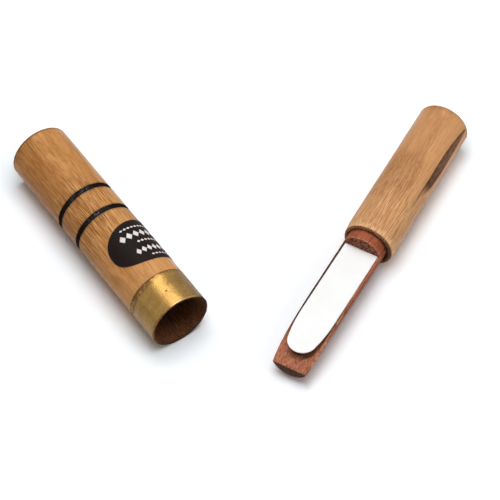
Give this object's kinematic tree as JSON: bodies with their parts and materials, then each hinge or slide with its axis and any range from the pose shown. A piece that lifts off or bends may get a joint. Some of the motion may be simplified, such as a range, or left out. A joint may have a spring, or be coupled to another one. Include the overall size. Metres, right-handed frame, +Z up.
{
  "type": "bird call",
  "caption": "Cane duck call taken apart: a brass-banded barrel lies beside the insert, a cane exhaust tube that holds a cedar toneboard, a wedge and a plastic reed.",
  "frame": {"origin": "centre of the pair's outline, on the level surface that both halves lie on", "axes": "+X along the longest side of the pair, from the barrel's mouth end towards the insert's far end, +Z up"},
  "size_m": [0.1622, 0.1112, 0.0223],
  "materials": {
    "cane": "oiled satin",
    "brass": "worn, lightly tarnished",
    "label": "printed paper, satin black",
    "cedar": "bare, cut smooth",
    "reed": "smooth white"
  },
  "bodies": {
    "barrel": {"barrel_tube": "cane", "brass_band": "brass", "label": "label"},
    "insert": {"exhaust_tube": "cane"},
    "toneboard": {"toneboard": "cedar"},
    "wedge": {"wedge": "cedar"},
    "reed": {"reed_tail": "reed"},
    "reed_tip": {"reed_tongue": "reed"}
  },
  "joints": [
    {"name": "insert_lift", "type": "slide", "parent": "barrel", "child": "insert", "axis": [0, 0, 1], "range_m": [0, 0.04]},
    {"name": "toneboard_draw", "type": "slide", "parent": "insert", "child": "toneboard", "axis": [-0.4857, -0.8741, 0], "range_m": [0, 0.022]},
    {"name": "wedge_draw", "type": "slide", "parent": "toneboard", "child": "wedge", "axis": [-0.4857, -0.8741, 0], "range_m": [0, 0.024]},
    {"name": "reed_draw", "type": "slide", "parent": "toneboard", "child": "reed", "axis": [-0.4857, -0.8741, 0], "range_m": [0, 0.022]},
    {"name": "reed_flex", "type": "hinge", "parent": "reed", "child": "reed_tip", "pos_m": [0.02888, -0.02901, 0.01103], "axis": [-0.8741, 0.4857, 0], "range_deg": [-5, 5], "stiffness_Nm_per_rad": 0.01}
  ]
}
